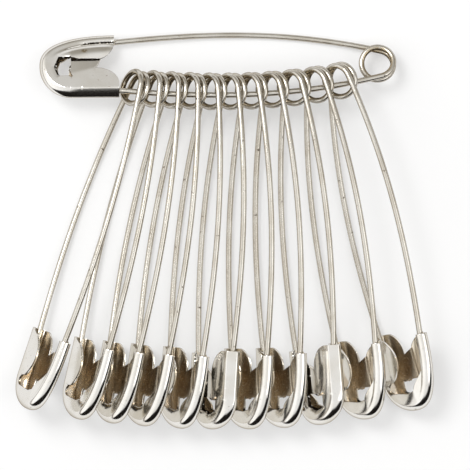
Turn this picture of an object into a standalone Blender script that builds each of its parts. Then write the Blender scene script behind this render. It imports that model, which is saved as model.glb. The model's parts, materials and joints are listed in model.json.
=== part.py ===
"""A bunch of safety pins: eleven pins strung by their spring eyes on the needle of a twelfth.

Every pin is one steel wire, bent round a spring eye into a fixed arm and a needle, and one
folded sheet cap. The fixed arm is crimped in the cap and the needle latches behind its guard.
A pin is drawn in its own frame: u runs from the eye to the cap, v from the needle to the
fixed arm, and w from the cap's plate to its open front. The origin is the centre of the eye.
"""

import math

import bmesh
import bpy
from mathutils import Matrix, Vector

# Wire and spring eye
WIRE_DIAMETER = 0.00086
EYE_OUTER_DIAMETER = 0.0057
TURN_GAP = 0.00042
SPLIT_GAP = 0.0003
EYE_POINTS_PER_TURN = 16

# Arms, seen on the flat side of a pin
EYE_TO_CAP = 0.0393
LEAVE_ANGLE = math.radians(14)
ENTRY_ANGLE = math.radians(6)
LEAVE_HANDLE_SHARE = 0.36
ENTRY_HANDLE_SHARE = 0.4
FIXED_ARM_IN_CAP = 0.006
NEEDLE_IN_CAP = 0.0046
POINT_LENGTH = 0.0032
TIP_RADIUS = 0.00009
ARM_SPANS = 8

# Sheet cap
CAP_LENGTH = 0.0122
CAP_WIDTH = 0.0102
CAP_THICKNESS = 0.0024
SHEET = 0.00035
RIM_RADIUS = 0.00105
NEEDLE_CORNER_LENGTH = 0.0049
FIXED_SIDE_POWER = 2.5
SEAT_GAP = 0.0003
FIXED_MOUTH_SETBACK = 0.0008
WRAP_WIDTH = 0.00145
WRAP_LENGTH = 0.0061
SHOULDER_LENGTH = 0.0019
SHOULDER_OFFSET = 0.0017
BAND_CORNER_OFFSET = 0.0011
END_BAND_WIDTH = 0.0031
END_BAND_POINT = 0.00035
GUARD_REACH = 0.0042
GUARD_SAG = 0.0015
GUARD_TIP_WIDTH = 0.0009
GUARD_TIP_SLOPE = 0.001
RELIEF_LENGTH = 0.0017
RELIEF_RIM = 0.0016
FIXED_EAR_ROUND = 0.0024
NEEDLE_EAR_ROUND = 0.0036
NEEDLE_EAR_RISE = 0.0026
LOBE_LEAN = 0.0007
NEEDLE_EAR_EDGE = 0.0018
SLIT_OFFSET = 0.0006
SLIT_WIDTH = 0.00035
WINDOW_LENGTH = 0.0017
WINDOW_WIDTH = 0.0029
WINDOW_OFFSET = -0.0005
WINDOW_POINT = 0.00055
WINDOW_END_MARGIN = 0.00255
CUT_OVERRUN = 0.001

# The bunch
CARRIER_ROLL = math.radians(22)
CARRIER_TURN = math.radians(0.6)
FIRST_EYE_MARGIN = 0.0022
STACK_GAP = 0.0001
NEEDLE_SLACK = 0.00018
NEEDLE_IN_EYE = 0.0006
ROLL_SPREAD = math.radians(17)
FAN_DEGREES = (-18.4, -13.0, -10.6, -8.4, -5.4, -3.4, -0.5, 2.0, 4.5, 8.6, 13.2)
TURNED_PINS = (6, 9)

# Facets and fine limits, as counts, shares and angles
FIXED_CORNER_STEPS = 8
NEEDLE_CORNER_STEPS = 6
FIXED_EAR_STEPS = 5
NEEDLE_EAR_STEPS = 6
HOLLOW_STEPS = 4
GUARD_STEPS = 6
WRAP_STEPS = 5
RIM_STEPS = 3
HOLLOW_RIM_STEPS = 2
MERGE_SHARE_OF_SHEET = 0.01
SMOOTH_ANGLE = math.radians(40)
STATION_HALVINGS = 40
TANGENT_SHARE = 0.016

# Worked out from the sizes above
WIRE_RADIUS = WIRE_DIAMETER / 2
EYE_RADIUS = (EYE_OUTER_DIAMETER - WIRE_DIAMETER) / 2
LAYER = WIRE_DIAMETER + TURN_GAP
EYE_THICKNESS = LAYER + WIRE_DIAMETER
CAP_END = EYE_TO_CAP + CAP_LENGTH
CAP_SIDE = CAP_WIDTH / 2
ARM_AT_CAP = CAP_SIDE - SHEET - SEAT_GAP - WIRE_RADIUS

NICKEL_CAP = ((0.82, 0.80, 0.76, 1.0), 0.12)
NICKEL_WIRE = ((0.72, 0.69, 0.64, 1.0), 0.28)
NICKEL_NEEDLE = ((0.76, 0.73, 0.68, 1.0), 0.24)


def clear_scene():
    """Remove what the scene holds."""
    for old in list(bpy.data.objects):
        bpy.data.objects.remove(old, do_unlink=True)


def nickel(name, finish):
    """A plated steel material from a colour and a roughness."""
    colour, roughness = finish
    material = bpy.data.materials.new(name)
    material.use_nodes = True
    shader = material.node_tree.nodes["Principled BSDF"]
    shader.inputs["Base Color"].default_value = colour
    shader.inputs["Metallic"].default_value = 1.0
    shader.inputs["Roughness"].default_value = roughness
    return material


def ease(share):
    """Smooth step from 0 to 1."""
    share = min(1.0, max(0.0, share))
    return share * share * (3 - 2 * share)


def arm_start():
    """Where an arm leaves the eye, on the v-positive side."""
    return Vector((-math.sin(LEAVE_ANGLE), math.cos(LEAVE_ANGLE))) * EYE_RADIUS


def arm_point(share, side):
    """A point of the bowed arm between the eye and the cap: side is 1 fixed, -1 needle."""
    start = arm_start()
    end = Vector((EYE_TO_CAP, ARM_AT_CAP))
    leave = Vector((math.cos(LEAVE_ANGLE), math.sin(LEAVE_ANGLE)))
    enter = Vector((math.cos(ENTRY_ANGLE), -math.sin(ENTRY_ANGLE)))
    first = start + leave * LEAVE_HANDLE_SHARE * EYE_TO_CAP
    second = end - enter * ENTRY_HANDLE_SHARE * EYE_TO_CAP
    rest = 1 - share
    flat = (start * rest**3 + first * 3 * rest**2 * share
            + second * 3 * rest * share**2 + end * share**3)
    level = LAYER / 2 * (1 - ease(flat.x / EYE_TO_CAP))
    return Vector((flat.x, side * flat.y, side * level))


def arm_in_cap(depth, side):
    """A point of the straight end of an arm, depth past the cap's mouth."""
    along = depth * math.cos(ENTRY_ANGLE)
    across = depth * math.sin(ENTRY_ANGLE)
    return Vector((EYE_TO_CAP + along, side * (ARM_AT_CAP - across), 0))


def eye_point(angle):
    """A point of the eye: two turns, layered on the far half and crossing on the near half."""
    crossing = ease((angle - 1.5 * math.pi) / math.pi)
    level = LAYER / 2 * (1 - 2 * crossing)
    return Vector((EYE_RADIUS * math.cos(angle), EYE_RADIUS * math.sin(angle), level))


def spring_path():
    """Centre line of the fixed arm, the eye and the short start of the needle arm."""
    points = [arm_in_cap(FIXED_ARM_IN_CAP, 1)]
    points += [arm_point(1 - i / ARM_SPANS, 1) for i in range(ARM_SPANS)]
    start = 0.5 * math.pi + LEAVE_ANGLE
    turn = 3 * math.pi - 2 * LEAVE_ANGLE
    spans = round(EYE_POINTS_PER_TURN * turn / (2 * math.pi))
    eye = [eye_point(start + turn * i / spans) for i in range(spans + 1)]
    stub = eye[-1] + Vector((math.cos(LEAVE_ANGLE), -math.sin(LEAVE_ANGLE), 0)) * WIRE_DIAMETER
    return points + eye + [stub]


def needle_path():
    """Centre line and radii of the needle arm, from just past the eye to its ground point."""
    gone = (WIRE_DIAMETER + SPLIT_GAP) / EYE_TO_CAP
    shares = [gone + (1 - gone) * i / ARM_SPANS for i in range(ARM_SPANS + 1)]
    points = [arm_point(share, -1) for share in shares]
    points.append(arm_in_cap(NEEDLE_IN_CAP - POINT_LENGTH, -1))
    points.append(arm_in_cap(NEEDLE_IN_CAP, -1))
    radii = [WIRE_RADIUS] * (len(points) - 1) + [TIP_RADIUS]
    return points, radii


def tube(name, points, radii, material):
    """Mesh of a round wire along points."""
    curve = bpy.data.curves.new(name, "CURVE")
    curve.dimensions = "3D"
    curve.bevel_depth = WIRE_RADIUS
    curve.bevel_resolution = 1
    curve.use_fill_caps = True
    spline = curve.splines.new("POLY")
    spline.points.add(len(points) - 1)
    for place, point, radius in zip(spline.points, points, radii):
        place.co = (*point, 1)
        place.radius = radius / WIRE_RADIUS
    guide = bpy.data.objects.new(name + "_guide", curve)
    bpy.context.scene.collection.objects.link(guide)
    return applied(guide, name, material)


def applied(guide, name, material):
    """The evaluated mesh of a guide object, which is then removed."""
    graph = bpy.context.evaluated_depsgraph_get()
    graph.update()
    mesh = bpy.data.meshes.new_from_object(guide.evaluated_get(graph))
    bpy.data.objects.remove(guide, do_unlink=True)
    work = bmesh.new()
    work.from_mesh(mesh)
    bmesh.ops.remove_doubles(work, verts=work.verts, dist=SHEET * MERGE_SHARE_OF_SHEET)
    bmesh.ops.triangulate(work, faces=work.faces)
    bmesh.ops.recalc_face_normals(work, faces=work.faces)
    work.to_mesh(mesh)
    work.free()
    mesh.name = name
    mesh.materials.clear()
    mesh.materials.append(material)
    mesh.shade_smooth()
    mesh.set_sharp_from_angle(angle=SMOOTH_ANGLE)
    return mesh


def cap_outline(inset, overrun):
    """Outline of the cap from the mouth's fixed side round the closed end to the needle side."""
    points = [(EYE_TO_CAP - overrun, CAP_SIDE - inset)] if overrun else []
    for i in range(FIXED_CORNER_STEPS + 1):
        angle = math.pi / 2 * i / FIXED_CORNER_STEPS
        along = math.sin(angle) ** (2 / FIXED_SIDE_POWER)
        across = math.cos(angle) ** (2 / FIXED_SIDE_POWER)
        points.append((EYE_TO_CAP + (CAP_LENGTH - inset) * along, (CAP_SIDE - inset) * across))
    for i in range(1, NEEDLE_CORNER_STEPS + 1):
        angle = math.pi / 2 * i / NEEDLE_CORNER_STEPS
        back = (NEEDLE_CORNER_LENGTH - inset) * (1 - math.cos(angle))
        points.append((CAP_END - inset - back, -(CAP_SIDE - inset) * math.sin(angle)))
    points.append((EYE_TO_CAP - overrun, -(CAP_SIDE - inset)))
    return points


def rounded_slab(half_thickness, edge_radius, inset, overrun, steps):
    """A closed slab of the cap's outline whose rim is rounded, but not its mouth."""
    work = bmesh.new()
    levels = []
    for face in (-1, 1):
        angles = [math.pi / 2 * i / steps for i in range(steps + 1)]
        for angle in (reversed(angles) if face < 0 else angles):
            height = face * (half_thickness - edge_radius * (1 - math.sin(angle)))
            levels.append((height, inset + edge_radius * (1 - math.cos(angle))))
    rings = []
    for height, drawn_in in levels:
        outline = cap_outline(drawn_in, overrun)
        rings.append([work.verts.new((u, v, height)) for u, v in outline])
    for low, high in zip(rings, rings[1:]):
        count = len(low)
        for i in range(count):
            j = (i + 1) % count
            work.faces.new((low[i], low[j], high[j], high[i]))
    work.faces.new(rings[0])
    work.faces.new(rings[-1])
    bmesh.ops.recalc_face_normals(work, faces=work.faces)
    return work


def prism(outline, low, high):
    """A closed prism of a flat outline between two heights."""
    work = bmesh.new()
    face = work.faces.new([work.verts.new((u, v, low)) for u, v in outline])
    grown = bmesh.ops.extrude_face_region(work, geom=[face])
    lifted = [item for item in grown["geom"] if isinstance(item, bmesh.types.BMVert)]
    bmesh.ops.translate(work, verts=lifted, vec=(0, 0, high - low))
    bmesh.ops.recalc_face_normals(work, faces=work.faces)
    return work


def quarter(centre, along, across, steps):
    """Points of a quarter ellipse from the u-axis end to the v-axis end of its half-axes."""
    u, v = centre
    angles = [math.pi / 2 * i / steps for i in range(steps + 1)]
    return [(u + along * math.cos(a), v + across * math.sin(a)) for a in angles]


def wrap_edge(u):
    """v of the wrap's inner edge at u, drawn in from the outline of the fixed side."""
    share = (u - EYE_TO_CAP) / (CAP_LENGTH - WRAP_WIDTH)
    return (CAP_SIDE - WRAP_WIDTH) * (1 - share**FIXED_SIDE_POWER) ** (1 / FIXED_SIDE_POWER)


def front_opening():
    """Outline cut out of the open front, between the crimped wrap, end band and guard."""
    outside = CAP_SIDE + CUT_OVERRUN
    before = EYE_TO_CAP - CUT_OVERRUN
    mouth = EYE_TO_CAP + FIXED_MOUTH_SETBACK
    band = CAP_END - END_BAND_WIDTH
    relief = -(CAP_SIDE - RELIEF_RIM)
    edge = -(CAP_SIDE - GUARD_REACH)
    edge_start = band - RELIEF_LENGTH
    edge_end = EYE_TO_CAP + GUARD_TIP_SLOPE
    middle = (edge_start + edge_end) / 2
    reach = (edge_start - edge_end) / 2
    wrap_end = EYE_TO_CAP + WRAP_LENGTH
    points = [(before, outside), (mouth, outside)]
    for i in range(WRAP_STEPS + 1):
        u = mouth + (wrap_end - mouth) * i / WRAP_STEPS
        points.append((u, wrap_edge(u)))
    points += [(wrap_end + SHOULDER_LENGTH, SHOULDER_OFFSET), (band, BAND_CORNER_OFFSET),
               (band + END_BAND_POINT, 0)]
    hollow = (band - RELIEF_LENGTH / 2, relief + RELIEF_LENGTH / 2)
    for i in range(HOLLOW_STEPS + 1):
        angle = -math.pi * i / HOLLOW_STEPS
        points.append((hollow[0] + RELIEF_LENGTH / 2 * math.cos(angle),
                       hollow[1] + RELIEF_LENGTH / 2 * math.sin(angle)))
    for i in range(GUARD_STEPS + 1):
        share = 1 - 2 * i / GUARD_STEPS
        points.append((middle + reach * share, edge - GUARD_SAG * share**2))
    tip = -(CAP_SIDE - GUARD_TIP_WIDTH)
    points += [(EYE_TO_CAP, tip), (before, tip)]
    return points


def plate_opening():
    """Outline cut out of the plate: the notch between its ears, the slit and the window."""
    outside = CAP_SIDE + CUT_OVERRUN
    before = EYE_TO_CAP - CUT_OVERRUN
    mouth = EYE_TO_CAP + FIXED_MOUTH_SETBACK
    slit_top = SLIT_OFFSET + SLIT_WIDTH / 2
    slit_bottom = SLIT_OFFSET - SLIT_WIDTH / 2
    window_end = CAP_END - WINDOW_END_MARGIN - WINDOW_POINT
    window_start = window_end - WINDOW_LENGTH
    window_top = WINDOW_OFFSET + WINDOW_WIDTH / 2
    window_bottom = WINDOW_OFFSET - WINDOW_WIDTH / 2
    ear_top = CAP_SIDE - WRAP_WIDTH
    points = [(before, outside), (mouth, outside)]
    points += quarter((mouth + FIXED_EAR_ROUND, ear_top), -FIXED_EAR_ROUND,
                      slit_top - ear_top, FIXED_EAR_STEPS)
    points += [(window_start, slit_top), (window_start, window_top), (window_end, window_top),
               (window_end + WINDOW_POINT, WINDOW_OFFSET), (window_end, window_bottom),
               (window_start, window_bottom), (window_start, slit_bottom)]
    ear_bottom = -(CAP_SIDE - NEEDLE_EAR_EDGE)
    notch = EYE_TO_CAP + NEEDLE_EAR_ROUND
    points.append((notch - LOBE_LEAN, slit_bottom))
    ear = quarter((notch, ear_bottom), -NEEDLE_EAR_ROUND, NEEDLE_EAR_RISE, NEEDLE_EAR_STEPS)
    points += list(reversed(ear))
    points.append((before, ear_bottom))
    return points


def hidden_tool(name, work):
    """An object of a working mesh that only cuts or is cut."""
    mesh = bpy.data.meshes.new(name)
    work.to_mesh(mesh)
    work.free()
    tool = bpy.data.objects.new(name, mesh)
    tool.display_type = "WIRE"
    tool.hide_render = True
    bpy.context.scene.collection.objects.link(tool)
    return tool


def cap_mesh(material):
    """The folded sheet cap: a hollow shell, open at the mouth, front slot and plate window."""
    half = CAP_THICKNESS / 2
    outside = half + CUT_OVERRUN
    body = hidden_tool("cap_body", rounded_slab(half, RIM_RADIUS, 0, 0, RIM_STEPS))
    cutters = [
        hidden_tool("cap_hollow", rounded_slab(half - SHEET, RIM_RADIUS - SHEET, SHEET,
                                               CUT_OVERRUN, HOLLOW_RIM_STEPS)),
        hidden_tool("cap_front_cut", prism(front_opening(), 0, outside)),
        hidden_tool("cap_plate_cut", prism(plate_opening(), -outside, 0)),
    ]
    for cutter in cutters:
        cut = body.modifiers.new(cutter.name, "BOOLEAN")
        cut.operation = "DIFFERENCE"
        cut.solver = "EXACT"
        cut.object = cutter
    mesh = applied(body, "cap", material)
    for cutter in cutters:
        bpy.data.objects.remove(cutter, do_unlink=True)
    return mesh


def frame_matrix(origin, along, across):
    """Matrix of a pin whose u axis is along and whose v axis is across."""
    normal = along.cross(across)
    turn = Matrix((along, across, normal)).transposed()
    return Matrix.Translation(origin) @ turn.to_4x4()


def holder(name, matrix, parent):
    """An empty that carries other pieces."""
    empty = bpy.data.objects.new(name, None)
    bpy.context.scene.collection.objects.link(empty)
    seat(empty, matrix, parent)
    return empty


def piece(name, mesh, matrix, parent):
    """A named object of a shared mesh."""
    solid = bpy.data.objects.new(name, mesh)
    bpy.context.scene.collection.objects.link(solid)
    seat(solid, matrix, parent)
    return solid


def seat(item, matrix, parent):
    """Put an object at a world matrix under its parent."""
    bpy.context.view_layer.update()
    item.parent = parent
    item.matrix_basis = parent.matrix_world.inverted() @ matrix if parent else matrix
    bpy.context.view_layer.update()


def add_pin(name, meshes, matrix, parent):
    """The three solids of one pin, and the needle object that hinges about the eye."""
    piece(name + "_cap", meshes["cap"], matrix, parent)
    piece(name + "_spring_wire", meshes["spring_wire"], matrix, parent)
    return piece(name + "_needle", meshes["needle"], matrix, parent)


def carrier_matrix(meshes):
    """The latched carrier, rolled with its needle side up, resting on the table."""
    along = Vector((-math.cos(CARRIER_TURN), -math.sin(CARRIER_TURN), 0))
    level = Vector((-along.y, along.x, 0)) * -1
    across = level * math.cos(CARRIER_ROLL) - Vector((0, 0, 1)) * math.sin(CARRIER_ROLL)
    flat = frame_matrix(Vector((0, 0, 0)), along, across)
    lowest = min((flat @ v.co).z for mesh in meshes.values() for v in mesh.vertices)
    return Matrix.Translation((0, 0, -lowest)) @ flat


def needle_station(matrix, distance):
    """World place and direction of the carrier's needle, at a distance u from its eye."""
    low, high = 0.0, 1.0
    for _ in range(STATION_HALVINGS):
        share = (low + high) / 2
        if arm_point(share, -1).x < distance:
            low = share
        else:
            high = share
    place = matrix @ arm_point(share, -1)
    ahead = matrix @ arm_point(share - TANGENT_SHARE, -1)
    behind = matrix @ arm_point(share + TANGENT_SHARE, -1)
    return place, (ahead - behind).normalized()


def least_roll():
    """Roll at which the carrier's needle still passes obliquely through the layered eye."""
    width = math.sqrt(EYE_RADIUS**2 - NEEDLE_IN_EYE**2)
    reach = math.hypot(width, LAYER / 2)
    needed = (WIRE_DIAMETER + NEEDLE_SLACK) / reach
    return math.atan2(LAYER / 2, width) + math.asin(min(1.0, needed))


def strung_rows():
    """Station, fan angle and roll of each strung pin, stacked from the carrier's cap on."""
    last = len(FAN_DEGREES) - 1
    rolls = [least_roll() + ROLL_SPREAD * (1 - k / last) for k in range(last + 1)]
    fans = [math.radians(degrees) for degrees in FAN_DEGREES]
    station = EYE_TO_CAP - FIRST_EYE_MARGIN
    rows = []
    for k, (fan, roll) in enumerate(zip(fans, rolls)):
        if k:
            lean = math.sin((roll + rolls[k - 1]) / 2)
            spread = EYE_OUTER_DIAMETER / 2 * (fan - fans[k - 1])
            station -= (EYE_THICKNESS + STACK_GAP) / lean + spread
        rows.append((station, fan, roll))
    return rows


def strung_matrix(meshes, hook, fan, roll, turned):
    """A pin hung on the carrier's needle at hook, tipped until it rests on the table."""
    sign = -1 if turned else 1
    rise = None
    for mesh in meshes.values():
        for vertex in mesh.vertices:
            u, v, w = vertex.co
            if u > EYE_OUTER_DIAMETER:
                drop = sign * (v * math.sin(roll) + w * math.cos(roll))
                need = -(hook.z + drop) / (u - NEEDLE_IN_EYE)
                rise = need if rise is None else max(rise, need)
    pitch = math.asin(rise)
    flat = Vector((math.sin(fan), -math.cos(fan), 0))
    side = Vector((math.cos(fan), math.sin(fan), 0))
    along = flat * math.cos(pitch) + Vector((0, 0, 1)) * math.sin(pitch)
    up = side.cross(along)
    if up.z < 0:
        up.negate()
    across = (side * math.cos(roll) + up * math.sin(roll)) * sign
    return frame_matrix(hook - along * NEEDLE_IN_EYE, along, across)


def centre_on_table(root):
    """Move the whole bunch so that its lowest point and its middle are at the origin."""
    corners = [item.matrix_world @ vertex.co for item in bpy.data.objects
               if item.type == "MESH" for vertex in item.data.vertices]
    lows = [min(corner[axis] for corner in corners) for axis in range(3)]
    highs = [max(corner[axis] for corner in corners) for axis in range(3)]
    middle = Vector(((lows[0] + highs[0]) / 2, (lows[1] + highs[1]) / 2, lows[2]))
    root.location -= middle
    bpy.context.view_layer.update()


def least_turn_gap(points):
    """Least free gap of the wire to itself, between stretches more than half a turn apart."""
    apart = math.pi * EYE_RADIUS
    lengths = [0.0]
    for before, after in zip(points, points[1:]):
        lengths.append(lengths[-1] + (after - before).length)
    gaps = [(points[j] - points[i]).length - WIRE_DIAMETER
            for i in range(len(points)) for j in range(i)
            if lengths[i] - lengths[j] > apart]
    return min(gaps)


def build():
    """Make the shared meshes, the carrier and the eleven strung pins."""
    clear_scene()
    spring = spring_path()
    needle, needle_radii = needle_path()
    meshes = {
        "cap": cap_mesh(nickel("nickel_cap", NICKEL_CAP)),
        "spring_wire": tube("spring_wire", spring, [WIRE_RADIUS] * len(spring),
                            nickel("nickel_spring_wire", NICKEL_WIRE)),
        "needle": tube("needle", needle, needle_radii, nickel("nickel_needle", NICKEL_NEEDLE)),
    }
    root = holder("bunch", Matrix.Identity(4), None)
    place = carrier_matrix(meshes)
    frame = holder("carrier_frame", place, root)
    carrier_needle = add_pin("carrier", meshes, place, frame)
    for number, (station, fan, roll) in enumerate(strung_rows(), start=1):
        name = f"pin_{number:02d}"
        hook, direction = needle_station(place, station)
        matrix = strung_matrix(meshes, hook, fan, roll, number in TURNED_PINS)
        axis = frame_matrix(hook, direction, direction.orthogonal().normalized())
        hanger = holder(name + "_hanger", axis, carrier_needle)
        add_pin(name, meshes, matrix, hanger)
    centre_on_table(root)
    print(f"least gap of the eye's wire to itself: {least_turn_gap(spring) * 1000:.2f} mm")


build()
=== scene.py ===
"""Looks for a bunch of safety pins: eleven closed pins strung by their spring eyes on a twelfth.

Every pin gets one unbroken plated wire and one folded sheet cap. Lengths are in metres. A pin is
drawn in its own frame: u runs from the eye to the cap, v from the needle to the fixed arm, and w
from the cap's plate to its open front.
"""

import json
import logging
import math
from dataclasses import dataclass
from enum import Enum
from typing import Any, Sequence

import bpy
import numpy as np
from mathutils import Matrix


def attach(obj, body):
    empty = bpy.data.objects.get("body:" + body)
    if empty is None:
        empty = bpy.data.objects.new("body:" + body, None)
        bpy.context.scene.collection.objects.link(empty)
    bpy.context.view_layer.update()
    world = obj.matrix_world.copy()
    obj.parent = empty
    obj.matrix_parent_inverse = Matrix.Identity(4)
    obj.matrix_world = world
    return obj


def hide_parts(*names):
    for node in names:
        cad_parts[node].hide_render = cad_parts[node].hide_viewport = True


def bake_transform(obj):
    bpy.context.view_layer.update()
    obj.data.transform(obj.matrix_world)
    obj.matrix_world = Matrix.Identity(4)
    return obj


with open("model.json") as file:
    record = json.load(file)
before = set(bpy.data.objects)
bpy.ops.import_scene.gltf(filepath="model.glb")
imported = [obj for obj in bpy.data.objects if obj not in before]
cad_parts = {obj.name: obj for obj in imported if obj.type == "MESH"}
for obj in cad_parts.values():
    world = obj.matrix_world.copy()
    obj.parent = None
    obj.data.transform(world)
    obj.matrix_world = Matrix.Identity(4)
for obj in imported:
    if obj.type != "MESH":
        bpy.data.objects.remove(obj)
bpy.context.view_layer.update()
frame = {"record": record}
LOG = logging.getLogger("pins")
MM = 0.001
STRUNG_PINS = 11
MOUNT_U = 45.5
MOUNT_V = -2.0

Span = tuple[float, float]
Colour = tuple[float, float, float, float]


def ease(value: Any, start: float, width: float) -> Any:
    """Smooth rise from 0 at start to 1 a width further on: 3 share squared less 2 share cubed."""
    share = np.clip((value - start) / width, 0.0, 1.0)
    return share * share * (3 - 2 * share)


def unit(vector: Sequence[float]) -> np.ndarray:
    """A vector divided by its own length."""
    vector = np.asarray(vector, float)
    return vector / np.linalg.norm(vector)


class Side(Enum):
    """The two arms of a pin, by the sign of v on which they lie."""

    FIXED = 1
    NEEDLE = -1


class Face(Enum):
    """The two faces of a cap, by the sign of w on which they lie."""

    FRONT = 1
    PLATE = -1


@dataclass(frozen=True)
class PinPlace:
    """Where a pin lies: the centre of its eye and its three unit axes."""

    eye: np.ndarray
    along: np.ndarray
    across: np.ndarray
    normal: np.ndarray

    def world(self, points: np.ndarray) -> np.ndarray:
        """World places: the eye plus u, v and w times the three axes."""
        return self.eye + points @ np.stack((self.along, self.across, self.normal))

    @classmethod
    def from_record(cls, name: str, record: dict[str, Any]) -> "PinPlace":
        """Reads a pin's place from its joints: the squeeze hinge stands at the eye along w, and
        the swing hinge stands a little further along u. The carrier has no swing, so its u comes
        from the mount on its plate.

        Args:
            name: the pin's body.
            record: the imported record.

        Returns:
            The pin's place.
        """
        joints = {joint["name"]: joint for joint in record["behaviour"]["joints"]}
        squeeze = joints[name + "_needle_squeeze"]
        eye, normal = np.array(squeeze["pos_m"]), unit(squeeze["axis"])
        swing = joints.get(name + "_swing")
        if swing:
            ahead = np.array(swing["pos_m"]) - eye
            turn = 0.0
        else:
            ahead = np.array(record["mounts"][0]["pos_m"]) - eye
            turn = math.atan2(MOUNT_V, MOUNT_U)
        flat = unit(ahead - normal * (ahead @ normal))
        along = flat * math.cos(turn) - np.cross(normal, flat) * math.sin(turn)
        return cls(eye, along, np.cross(normal, along), normal)


class Sheet:
    """Turns numpy grids into mesh objects."""

    @staticmethod
    def piece(name: str, points: np.ndarray, faces: np.ndarray, extra: Sequence[Any] = (),
              layers: dict[str, np.ndarray] | None = None) -> bpy.types.Object:
        """A mesh object at the origin.

        Args:
            name: the piece's name.
            points: the vertices, one row each.
            faces: quads of vertex numbers, one row each.
            extra: further faces, such as the fans that close a pole.
            layers: point attributes by name.

        Returns:
            The linked object, shaded smooth.
        """
        mesh = bpy.data.meshes.new(name)
        mesh.from_pydata(points.tolist(), [], faces.tolist() + [list(face) for face in extra])
        for layer, values in (layers or {}).items():
            attribute = mesh.attributes.new(layer, "FLOAT", "POINT")
            attribute.data.foreach_set("value", np.asarray(values, np.float32))
        mesh.shade_smooth()
        mesh.update()
        solid = bpy.data.objects.new(name, mesh)
        bpy.context.scene.collection.objects.link(solid)
        return solid

    @staticmethod
    def quads(rows: int, columns: int, closed: bool) -> np.ndarray:
        """Quads of a grid of rows and columns, whose columns close on themselves if asked."""
        last = columns if closed else columns - 1
        row, column = np.meshgrid(np.arange(rows - 1), np.arange(last), indexing="ij")
        after = (column + 1) % columns
        corners = (row * columns + column, row * columns + after,
                   (row + 1) * columns + after, (row + 1) * columns + column)
        return np.stack(corners, -1).reshape(-1, 4)


class Channel:
    """A shader socket with arithmetic: each operator adds one Math node."""

    def __init__(self, graph: "Graph", socket: bpy.types.NodeSocket) -> None:
        """Keeps the node tree's helper and the socket."""
        self.graph = graph
        self.socket = socket

    def math(self, operation: str, *others: Any) -> "Channel":
        """A Math node of this value and others, in that order."""
        return self.graph.math(operation, self, *others)

    def __add__(self, other: Any) -> "Channel":
        """Sum."""
        return self.math("ADD", other)

    def __sub__(self, other: Any) -> "Channel":
        """Difference."""
        return self.math("SUBTRACT", other)

    def __rsub__(self, other: Any) -> "Channel":
        """Difference the other way round."""
        return self.graph.math("SUBTRACT", other, self)

    def __mul__(self, other: Any) -> "Channel":
        """Product."""
        return self.math("MULTIPLY", other)

    __radd__ = __add__
    __rmul__ = __mul__

    def above(self, low: float, high: float) -> "Channel":
        """A mask that rises smoothly from 0 at low to 1 at high."""
        node = self.graph.node("ShaderNodeMapRange", {"interpolation_type": "SMOOTHSTEP"},
                               {"Value": self, "From Min": low, "From Max": high})
        return Channel(self.graph, node.outputs["Result"])


class Graph:
    """Builds a node tree of a material or of the world."""

    def __init__(self, tree: bpy.types.NodeTree) -> None:
        """Empties the tree."""
        self.tree = tree
        tree.nodes.clear()

    def node(self, kind: str, settings: dict[str, Any] | None = None,
             inputs: dict[Any, Any] | None = None) -> bpy.types.Node:
        """One node with its settings and inputs.

        Args:
            kind: the node's type.
            settings: properties of the node, set first.
            inputs: values, channels or sockets, by the input's name or number.

        Returns:
            The node.
        """
        node = self.tree.nodes.new(kind)
        for name, value in (settings or {}).items():
            setattr(node, name, value)
        for name, value in (inputs or {}).items():
            socket = node.inputs[name]
            if isinstance(value, Channel):
                self.tree.links.new(value.socket, socket)
            elif isinstance(value, bpy.types.NodeSocket):
                self.tree.links.new(value, socket)
            else:
                socket.default_value = value
        return node

    def math(self, operation: str, *values: Any) -> Channel:
        """A Math node."""
        node = self.node("ShaderNodeMath", {"operation": operation}, dict(enumerate(values)))
        return Channel(self, node.outputs[0])

    def blend(self, factor: Any, low: Any, high: Any) -> bpy.types.NodeSocket:
        """A colour between two, by a factor: a Mix node takes them at its inputs 6 and 7."""
        node = self.node("ShaderNodeMix", {"data_type": "RGBA"}, {0: factor, 6: low, 7: high})
        return node.outputs[2]

    def noise(self, vector: Any, scale: float, detail: float) -> Channel:
        """Fractal noise at a scale in waves per metre, with detail more octaves."""
        node = self.node("ShaderNodeTexNoise", None,
                         {"Vector": vector, "Scale": scale, "Detail": detail})
        return Channel(self, node.outputs["Fac"])

    def attribute(self, name: str) -> Channel:
        """A float attribute of the piece."""
        return Channel(self, self.node("ShaderNodeAttribute", {"attribute_name": name})
                       .outputs["Fac"])

    def stretched(self, scale: tuple[float, float, float]) -> bpy.types.NodeSocket:
        """Object coordinates times a scale for each axis."""
        place = self.node("ShaderNodeTexCoord").outputs["Object"]
        return self.node("ShaderNodeMapping", None, {"Vector": place, "Scale": scale}).outputs[0]


# Painted shade near black, a painted brown for shade and reflection, and the metal's edge tint.
PAINTED_SHADE: Colour = (0.02, 0.015, 0.01, 1)
PAINTED_BROWN: Colour = (0.42, 0.33, 0.20, 1)
EDGE_TINT: Colour = (0.35, 0.30, 0.24, 1)


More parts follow.
